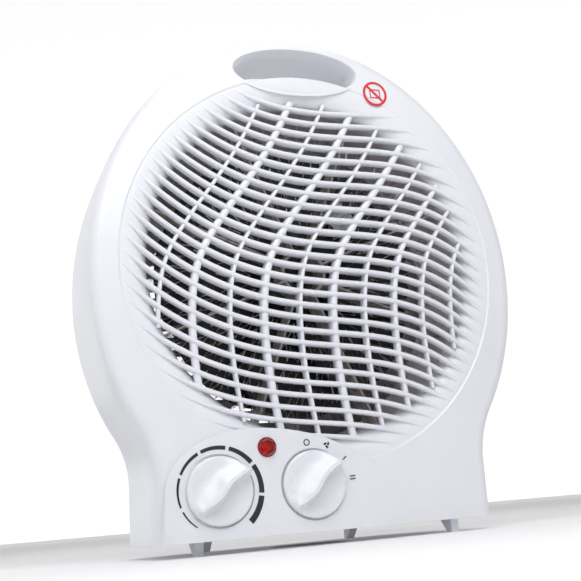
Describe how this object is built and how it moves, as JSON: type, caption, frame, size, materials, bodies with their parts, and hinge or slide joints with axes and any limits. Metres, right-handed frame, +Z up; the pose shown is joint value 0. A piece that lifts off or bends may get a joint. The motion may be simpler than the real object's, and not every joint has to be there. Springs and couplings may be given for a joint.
{
  "type": "fan convector heater",
  "caption": "Upright round-bodied fan heater with a wavy front grille, a control panel with rotary knobs and an indicator lamp, and a carrying handle cut through the top.",
  "frame": {"origin": "on the floor under the middle of the heater's bounding box", "axes": "+X to the right seen from the front, +Y from front to back, +Z up"},
  "size_m": [0.226, 0.1089, 0.257],
  "materials": {
    "housing_plastic": "satin gloss white",
    "foot_plastic": "satin grey-white",
    "knob_plastic": "satin gloss white",
    "spindle_plastic": "matte",
    "dial_print": "printed ink, matte",
    "caution_print": "printed ink, matte",
    "lens_red": "clear red, gloss",
    "lamp_glass": "clear",
    "control_plastic": "matte",
    "duct_plastic": "matte",
    "mica": "layered mica board, slightly glossy",
    "heating_alloy": "drawn, slightly oxidised",
    "cutout_metal": "satin",
    "fan_plastic": "matte",
    "shaft_steel": "ground",
    "motor_steel": "zinc plated",
    "bracket_steel": "painted white",
    "screw_steel": "zinc plated",
    "bush_rubber": "matte"
  },
  "bodies": {
    "housing": {"front_shell": "housing_plastic", "front_grille": "housing_plastic", "rear_shell": "housing_plastic", "front_left_foot": "foot_plastic", "front_right_foot": "foot_plastic", "rear_left_foot": "foot_plastic", "rear_right_foot": "foot_plastic", "thermostat_dial_marks": "dial_print", "switch_marks": "dial_print", "caution_mark": "caution_print", "indicator_lens": "lens_red", "neon_lamp": "lamp_glass", "thermostat_body": "control_plastic", "switch_body": "control_plastic", "terminal_block": "control_plastic", "air_duct": "duct_plastic", "heater_frame": "mica", "heating_wire": "heating_alloy", "thermal_cutout": "cutout_metal", "motor_body": "motor_steel", "motor_bracket": "bracket_steel", "shell_screws": "screw_steel", "cord_inlet_bush": "bush_rubber"},
    "thermostat_control": {"thermostat_knob": "knob_plastic", "thermostat_spindle": "spindle_plastic"},
    "switch_control": {"switch_knob": "knob_plastic", "switch_spindle": "spindle_plastic"},
    "fan": {"fan_impeller": "fan_plastic", "motor_shaft": "shaft_steel"}
  },
  "joints": [
    {"name": "thermostat_turn", "type": "hinge", "parent": "housing", "child": "thermostat_control", "pos_m": [-0.059, -0.045, 0.0286], "axis": [0, -1, 0], "range_deg": [-73, 208]},
    {"name": "switch_turn", "type": "hinge", "parent": "housing", "child": "switch_control", "pos_m": [-0.0122, -0.045, 0.0286], "axis": [0, -1, 0], "range_deg": [-25, 66]},
    {"name": "fan_spin", "type": "hinge", "parent": "housing", "child": "fan", "pos_m": [0, -0.004, 0.136], "axis": [0, -1, 0], "continuous": true}
  ]
}
